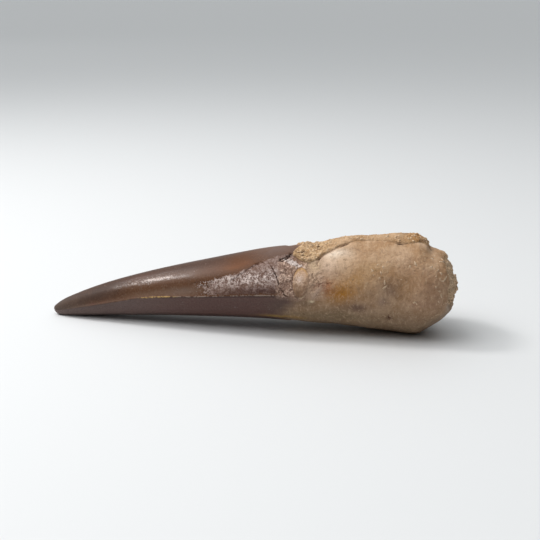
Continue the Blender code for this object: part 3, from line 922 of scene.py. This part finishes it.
def enamel_colour(colours, at):
    """Warm brown above the front ridge, purple brown below it, grey at the worn tip."""
    along, angle, fine, mid, blotch, streak = at.along, at.angle, at.fine, at.mid, at.blotch, at.streak
    high = (at.upward + blotch * 0.12).smooth(0.59, 0.95) * along.fade(60, 80)
    upper = paint(
        colours.enamel,
        ((streak * 0.6 + blotch * 0.6).smooth(-0.1, 0.5) * 0.6, (0.075, 0.037, 0.023)),
        ((mid + streak * 0.4).smooth(0.1, 0.5) * 0.4, (0.15, 0.081, 0.047)),
        (high * 0.85, (0.058, 0.024, 0.013)),
    )
    lower = paint(
        colours.enamel_shade,
        ((mid + streak).smooth(0, 0.6) * 0.45, (0.09, 0.058, 0.05)),
        (along.fade(4, 60), (0.165, 0.12, 0.108)),
    )
    grain = fine + mid * 0.3
    colour = paint(
        blend(at.below, upper, lower),
        (grain.smooth(0.05, 0.45) * 0.2, (0.26, 0.17, 0.135)),
        ((-grain).smooth(0.05, 0.45) * 0.4, (0.032, 0.016, 0.012)),
    )
    tip = (along + blotch * 4 + at.upward * 7).fade(3, 22)
    edge = (at.past_step + mid * 0.3).bell(0.22) * along.smooth(65, 67.5) * along.fade(74, 76.5)
    wander = at.from_ridge + mid * 0.3
    golden = along.fade(45, 50)
    line = (wander / (golden * 0.16 + 0.26)).bell(1) * along.smooth(24, 42) * along.fade(86, 92)
    worn = (line * (mid * 2.4 + blotch * 2 + fine + 0.72)).smooth(0.3, 0.75)
    under = (wander + 0.55).bell(0.3) * along.smooth(38, 44) * along.fade(90, 96)
    # a pale scuff that is partly a painted highlight on the shoulder
    scuff_and_highlight = at.spot(*SHOULDER_SCUFF_AND_HIGHLIGHT) + fine * 1.3 + mid * 0.7 + streak * 0.4
    colour = paint(
        stained_and_lit(colour, ENAMEL_STAINS, at),
        (tip * (1 - at.below) * 0.8, colours.enamel_tip),
        (edge * (angle - 40).bell(60) * 0.8, (0.045, 0.014, 0.01)),
        # the ridge's worn line: golden in front, pale specks behind, with a dark line under it
        (worn * golden * 0.95, (0.5, 0.31, 0.11)),
        (worn * (1 - golden) * 0.55, (0.44, 0.34, 0.27)),
        (under * 0.65, (0.03, 0.015, 0.014)),
        # a painted highlight on the shoulder, and a scuffed streak that is partly painted highlight
        (at.spot(*SHOULDER_HIGHLIGHT) * 0.42, (0.3, 0.215, 0.18)),
        (scuff_and_highlight.smooth(0.58, 1.05) * 0.85, (0.6, 0.48, 0.43)),
    )
    # frosted enamel: pale grains in brown, with a painted sheen that makes them brightest along the
    # middle of the swelling
    cell_tint = add(at.place.tree, "ShaderNodeTexVoronoi", {"Vector": at.place, "Scale": 1 / 0.34}, out=1)
    grains = parts(cell_tint)[0] * 0.6 + fine * 0.55 + 0.2
    # painted sheen: the grains are painted brightest in a band along the swelling
    bright = (angle - 28 + blotch * 8 + streak * 6).bell(10) * along.ramp(60, 68, 0.55, 0.92) + 0.24
    foot = (angle + mid * 7 + blotch * 5).fade(5, 18) * along.smooth(58, 66)
    shown = (grains + mid * 1.2).smooth(0.15, 1) * bright * (1 - foot * 0.78)
    return paint(
        colour,
        (at.frosted * 0.55, blend(foot, (0.24, 0.15, 0.122), (0.078, 0.04, 0.034))),
        (at.frosted * shown, colours.frost),
        (at.frosted * (0.16 - grains - fine * 0.25).smooth(0, 0.12) * 0.7, (0.05, 0.024, 0.02)),
    )


def root_colour(colours, at):
    """Waxy tan with slow mottling, stains, painted highlights on the dome, painted shade in a dent and
    fine striae.
    """
    colour = blend((at.mottle - 0.5).smooth(-0.12, 0.18), colours.root, colours.root_pale)
    colour = blend(at.upward.fade(-0.77, 0.24) * 0.75, colour, (0.215, 0.15, 0.1))
    striae = clouds(vector_math("MULTIPLY", at.place, (1, 0.45, 0.45)), 0.8, 2, 0.6, 0.5)
    return paint(
        stained_and_lit(colour, ROOT_STAINS_AND_PAINTED_LIGHT, at),
        (at.mid.smooth(0.02, 0.45) * 0.34, (0.6, 0.42, 0.27)),
        ((-at.mid).smooth(0.02, 0.45) * 0.42, (0.17, 0.1, 0.06)),
        (striae.smooth(0.05, 0.45) * 0.4, (0.62, 0.44, 0.29)),
        ((-striae).smooth(0.08, 0.45) * 0.25, (0.2, 0.12, 0.07)),
        ((-at.fine).smooth(0.18, 0.5) * 0.25, (0.14, 0.08, 0.048)),
    )


def belt_colour(colour, at):
    """The chipped belt between enamel and root, with its oval chip."""
    along, angle, fine, mid, belt, in_oval = at.along, at.angle, at.fine, at.mid, at.in_belt, at.in_oval
    behind = (along - 91.5).smooth(0, 1.6)
    holes = belt * (1 - at.plate * 0.8) * (mid * 0.9 - fine * 0.9 + 0.36) * (1 - behind * 0.6)
    veins = at.spot(*ROOT_VEINS)
    veins = veins * (mid + 0.03).bell(0.06) + veins * (fine * 0.6 + mid - 0.1).smooth(0, 0.3) * 0.5
    slant = angle - 50 + (along - 87) * 2.2
    chips = (along - 87.4).bell(3.2) * slant.bell(5)
    chips = (chips + fine * 1.5 + mid * 0.7 - 0.04).smooth(0.3, 0.5) * chips.smooth(0.1, 0.3)
    # a painted highlight on the oval chip's upper middle
    oval_highlight = (angle - 25 + mid * 10).bell(8) * (along - 89.8 + fine * 1.2).bell(1.5)
    oval = paint(
        blend((angle - 13 + mid * 22).smooth(-8, 20), (0.29, 0.168, 0.096), (0.6, 0.378, 0.236)),
        ((-mid - fine * 0.6).smooth(0.1, 0.5) * 0.5, (0.24, 0.13, 0.08)),
        (oval_highlight * (fine * 1.6 + mid + 0.75), (0.78, 0.6, 0.49)),
    )
    fading = 1 - (along - 91 + mid * 1.6 - (angle - 14) * 0.04).smooth(0, 1.6) * 0.8
    edge = (in_oval + fine * 0.06).bell(0.06) * (90.4 - along).smooth(-0.4, 1.2)
    rim = (in_oval - 0.1 + fine * 0.1).bell(0.09) * (angle - 41).bell(10)
    foot = (in_oval - 0.03).bell(0.05) * (angle + 2).bell(7)
    streak = (along - 95.3 - (angle - 4) * 0.13 + fine * 0.3).bell(0.75) * (angle - 5).bell(9)
    return paint(
        colour,
        (belt * 0.6, (0.31, 0.185, 0.13)),
        (belt * (at.plate * 0.6 + 0.3) * (fine * 1.7 + mid * 0.9 + 0.55), (0.74, 0.525, 0.41)),
        (belt * behind * 0.7, (0.56, 0.385, 0.26)),
        (at.spot(*BELT_CORNER) * (fine + 0.75), (0.62, 0.45, 0.28)),
        (holes, (0.15, 0.075, 0.048)),
        (veins, (0.2, 0.066, 0.032)),
        (chips * 0.85, (0.72, 0.61, 0.56)),
        # the oval chip with its painted highlight, its dark edge, golden rim and pale foot
        ((in_oval + fine * 0.08).smooth(0, 0.12) * fading * 0.95, oval),
        (edge * 0.7, (0.1, 0.048, 0.03)),
        (rim * 0.8, (0.5, 0.27, 0.085)),
        (foot * (mid * 2 + 0.5), (0.6, 0.45, 0.28)),
        # the pale streak behind the belt's foot and its bright end
        (streak * 0.8, (0.52, 0.36, 0.27)),
        (at.spot(*BELT_TIP) * 0.9, (0.75, 0.62, 0.42)),
    )


def crust_colour(colours, at):
    """Cemented sand with rusty patches and brown cracks."""
    tail = (at.along - 127 + at.blotch).bell(4.4) * (at.angle - 88).bell(22)
    holes = at.spot(*CRUST_HOLES) * (at.fine * 0.8 + at.mid * 1.4).smooth(-0.05, 0.25)
    light = (at.mid + (at.speckle - 0.5) * 1.2).smooth(-0.35, 0.4)
    return paint(
        blend(light, (0.37, 0.215, 0.105), colours.crust),
        ((at.blotch * 0.7).smooth(0, 0.5) * 0.5, (0.62, 0.44, 0.29)),
        ((at.blotch * -0.8).smooth(0.05, 0.45) * 0.45, (0.4, 0.205, 0.075)),
        (tail * (at.mid * 0.8 + 0.85), (0.34, 0.15, 0.034)),
        (holes * 0.85, (0.085, 0.042, 0.02)),
        (at.crackle.smooth(0.3, 0.9) * 0.8, (0.12, 0.062, 0.034)),
    )


def gravel_colour(colours, at):
    """Grey tan gravel with dark gaps and pale grains."""
    light = (at.speckle - 0.5 + at.mid * 0.25).smooth(-0.24, 0.12)
    return paint(
        blend(light, (0.32, 0.215, 0.14), colours.gravel),
        ((at.fine * -0.8 + at.mid * -0.6).smooth(0.14, 0.38) * 0.6, (0.125, 0.082, 0.054)),
        ((at.mid * 0.6 + at.fine * 0.6).smooth(0.16, 0.4) * 0.8, (0.86, 0.67, 0.48)),
    )


def tooth_material(colours):
    material, tree, shader = new_material("fossil tooth")
    at = read_surface(tree)
    along, angle, fine, mid, blotch = at.along, at.angle, at.fine, at.mid, at.blotch
    carried_on = (angle - 84).bell(24) * 5.5
    join = (at.past_enamel - carried_on + blotch * 2 + at.streak * 1.2).smooth(-4, 4.5)
    sandy = (at.in_crust + fine * 0.3).smooth(-0.1, 0.3)
    sandy_share = along.ramp(95, 103, 0.95, 0.16).high((along - 127.5).bell(4.6) * 0.95)
    broken = (at.in_break + fine * 0.5).smooth(-0.4, 0.9)
    gap = at.crack.fade(0.5, 1.4)
    deep = at.crack_depth.smooth(0.15, 0.5)
    crevice = (at.crevice + fine * 0.1 + blotch * 0.12).smooth(0.3, 0.7)
    colour = paint(
        belt_colour(blend(join, enamel_colour(colours, at), root_colour(colours, at)), at),
        (sandy * sandy_share, crust_colour(colours, at)),
        (broken * 0.9, gravel_colour(colours, at)),
        # black in the deep cracks and pits, red brown in the shallow ones
        (gap * (deep * 0.5 + 0.45), blend(deep, (0.1, 0.04, 0.025), colours.crack_colour)),
        # painted shade in the crevice under the crust's lip, darkest where the gap is open
        (crevice * 0.85, (0.055, 0.03, 0.018)),
        # light and dark specks all over
        ((at.speckle - 0.5).smooth(0.02, 0.25) * (join * 0.1 + 0.06), (0.66, 0.52, 0.42)),
        ((0.5 - at.speckle).smooth(0.02, 0.25) * 0.28, (0.035, 0.02, 0.015)),
    )

    stony = sandy.high(broken)
    dull = (along - 48).smooth(0, 8) * (angle - 34).smooth(0, 10)
    dull = dull.high((angle - 60 + blotch * 8).smooth(0, 12)) * angle.fade(150, 198)
    dull = dull.high((30 - along + blotch * 5).smooth(0, 9)).high(mid.smooth(0.1, 0.4) * 0.5)
    shine = 0.23 + dull * 0.3 + at.frosted * 0.14 + at.below * 0.16
    roughness = mix(join, shine, 0.5) + (at.speckle - 0.5) * 0.25 + mid * 0.08
    scaly = at.spot(*SHOULDER_SCALES)
    rugged = 0.25 + scaly * 0.45 + at.frosted * 1.4 + stony * 2.2 + at.in_belt * 1.6 + join * 0.7
    bumps = at.height * rugged + mid * (scaly * 0.6 + join * 0.5)
    plug(tree, shader.inputs["Base Color"], colour)
    plug(tree, shader.inputs["Roughness"], mix(stony.high(gap), roughness, 0.92))
    bumps = add(tree, "ShaderNodeBump", {"Height": bumps, "Distance": BUMP_HEIGHT})
    plug(tree, shader.inputs["Normal"], bumps)
    shader.inputs["Specular IOR Level"].default_value = TOOTH_SPECULAR
    return material


def stone_material(name, colour, dark, roughness):
    """Each stone takes its own tint between two colours."""
    material, tree, shader = new_material(name)
    speckle, _, _ = stone_grain(tree, object_place(tree), 0.9, 6)
    plug(tree, shader.inputs["Base Color"], blend((speckle - 0.5).smooth(-0.18, 0.18), dark, colour))
    shader.inputs["Roughness"].default_value = roughness
    shader.inputs["Specular IOR Level"].default_value = STONE_SPECULAR
    return material


# ---- the pieces and the stage


def finish_piece(piece, body="root"):
    """Every finished piece stays with the tooth's one body."""
    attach(piece, body)


class GrowTooth(bpy.types.Operator):
    """Wraps the skin round the tooth's outline and carves its relief"""

    bl_idname = "fossil_tooth.grow_tooth"
    bl_label = "Grow Tooth"

    def execute(self, context):
        sizes = context.scene.tooth_skin
        paths = bpy.data.objects.new("crack_paths", crack_mesh())
        context.scene.collection.objects.link(paths)
        inputs = {"Crack Paths": paths, "Material": tooth_material(context.scene.tooth_colours)}
        for key, size in SkinSizes.__annotations__.items():
            inputs[size.keywords["name"]] = getattr(sizes, key)
        piece = grow("tooth_skin", outline_mesh(), build_skin_tree(), inputs)
        bpy.data.objects.remove(paths)
        finish_piece(piece)
        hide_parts(NODE)
        return {"FINISHED"}


class ScatterStones(bpy.types.Operator):
    """Scatters sand grains over the crust and the break, and pale flecks over the root"""

    bl_idname = "fossil_tooth.scatter_stones"
    bl_label = "Scatter Stones"

    def execute(self, context):
        sand = context.scene.tooth_sand
        skin = bpy.data.objects["tooth_skin"].data
        grains = stone_material("sand grain", (0.72, 0.52, 0.33), (0.38, 0.25, 0.15), 0.75)
        flecks = stone_material("pale fleck", (0.6, 0.44, 0.3), (0.48, 0.34, 0.22), 0.6)
        for name, where, stretched, density, width, flatness, sunk, material in (
            ("sand_grains", on_crust, 0.8, sand.crust_density, sand.grain_size, 0.8, 0.18, grains),
            ("pale_flecks", on_root, 2.2, sand.fleck_density, sand.fleck_size, 0.5, 0.25, flecks),
        ):
            inputs = {"Density": density, "Width": width, "Flatness": flatness, "Sunk": sunk}
            inputs.update({"Seed": sand.seed, "Material": material})
            finish_piece(grow(name, skin.copy(), scatter_tree(name, where, stretched), inputs))
        return {"FINISHED"}


def soft_sky(scene, stage):
    """Light from all round, brightest above and behind the tooth."""
    world = bpy.data.worlds.new("soft sky")
    world.use_nodes = True
    tree = world.node_tree
    sky = tree.nodes["Background"]
    facing = vector_math("DOT_PRODUCT", add(tree, "ShaderNodeTexCoord"), SKY_TOWARDS, out=1)
    plug(tree, sky.inputs["Color"], blend(facing.smooth(0, 1), stage.dark_sky_colour, stage.sky_colour))
    sky.inputs["Strength"].default_value = stage.sky_strength
    scene.world = world


def lay_floor(scene, stage):
    corners = [(x * FLOOR_REACH, y * FLOOR_REACH, 0) for x, y in ((-1, -1), (1, -1), (1, 1), (-1, 1))]
    mesh = bpy.data.meshes.new("floor")
    mesh.from_pydata(corners, [], [(0, 1, 2, 3)])
    floor = bpy.data.objects.new("stage_floor", mesh)
    scene.collection.objects.link(floor)
    material, _, surface = new_material("floor")
    surface.inputs["Base Color"].default_value = (*stage.floor_colour, 1)
    surface.inputs["Roughness"].default_value = FLOOR_ROUGHNESS
    mesh.materials.append(material)


def hang_lamps(scene, stage):
    for name, place, width, power in LAMPS:
        lamp = bpy.data.lights.new(name, "AREA")
        lamp.size = width
        lamp.energy = getattr(stage, power)
        box = bpy.data.objects.new(name, lamp)
        box.location = place
        box.rotation_euler = (LAMPS_AIM - box.location).to_track_quat("-Z", "Y").to_euler()
        box.visible_glossy = name == "small_box"
        scene.collection.objects.link(box)


def place_camera(scene):
    lens = bpy.data.cameras.new("camera")
    lens.lens, lens.sensor_width = LENS, SENSOR
    lens.clip_start, lens.clip_end = 0.01, 100
    camera = bpy.data.objects.new("camera", lens)
    level = math.cos(CAMERA_RISE)
    back = Vector((math.sin(CAMERA_TURN) * level, -math.cos(CAMERA_TURN) * level, math.sin(CAMERA_RISE)))
    right = Vector((math.cos(CAMERA_TURN), math.sin(CAMERA_TURN), 0))
    up = back.cross(right)
    camera.location = CAMERA_AIM + back * CAMERA_BACK + right * CAMERA_RIGHT + up * CAMERA_UP
    camera.rotation_euler = back.to_track_quat("Z", "Y").to_euler()
    scene.collection.objects.link(camera)
    bpy.context.scene.camera = camera


class SetStage(bpy.types.Operator):
    """Lays the pale floor and sets the soft light and the camera"""

    bl_idname = "fossil_tooth.set_stage"
    bl_label = "Set Stage"

    def execute(self, context):
        scene, stage = context.scene, context.scene.tooth_stage
        lay_floor(scene, stage)
        soft_sky(scene, stage)
        hang_lamps(scene, stage)
        place_camera(scene)
        scene.view_settings.view_transform = "Standard"
        return {"FINISHED"}


class ToothPanel(bpy.types.Panel):
    """Lists the steps that make the tooth."""

    bl_idname = "VIEW3D_PT_fossil_tooth"
    bl_label = "Fossil Tooth"
    bl_space_type = "VIEW_3D"
    bl_region_type = "UI"
    bl_category = "Fossil Tooth"

    def draw(self, context):
        for step in STEPS:
            self.layout.operator(step.bl_idname)


SETTINGS = {
    "tooth_skin": SkinSizes, "tooth_sand": SandSizes,
    "tooth_colours": ToothColours, "tooth_stage": StageSettings,
}
STEPS = (GrowTooth, ScatterStones, SetStage)
CLASSES = (*SETTINGS.values(), *STEPS, ToothPanel)


def register():
    for kind in CLASSES:
        bpy.utils.register_class(kind)
    for name, kind in SETTINGS.items():
        setattr(bpy.types.Scene, name, bpy.props.PointerProperty(type=kind))


def unregister():
    for name in SETTINGS:
        delattr(bpy.types.Scene, name)
    for kind in reversed(CLASSES):
        bpy.utils.unregister_class(kind)


def main():
    register()
    for step in STEPS:
        group, name = step.bl_idname.split(".")
        getattr(getattr(bpy.ops, group), name)()


if __name__ == "__main__":
    main()
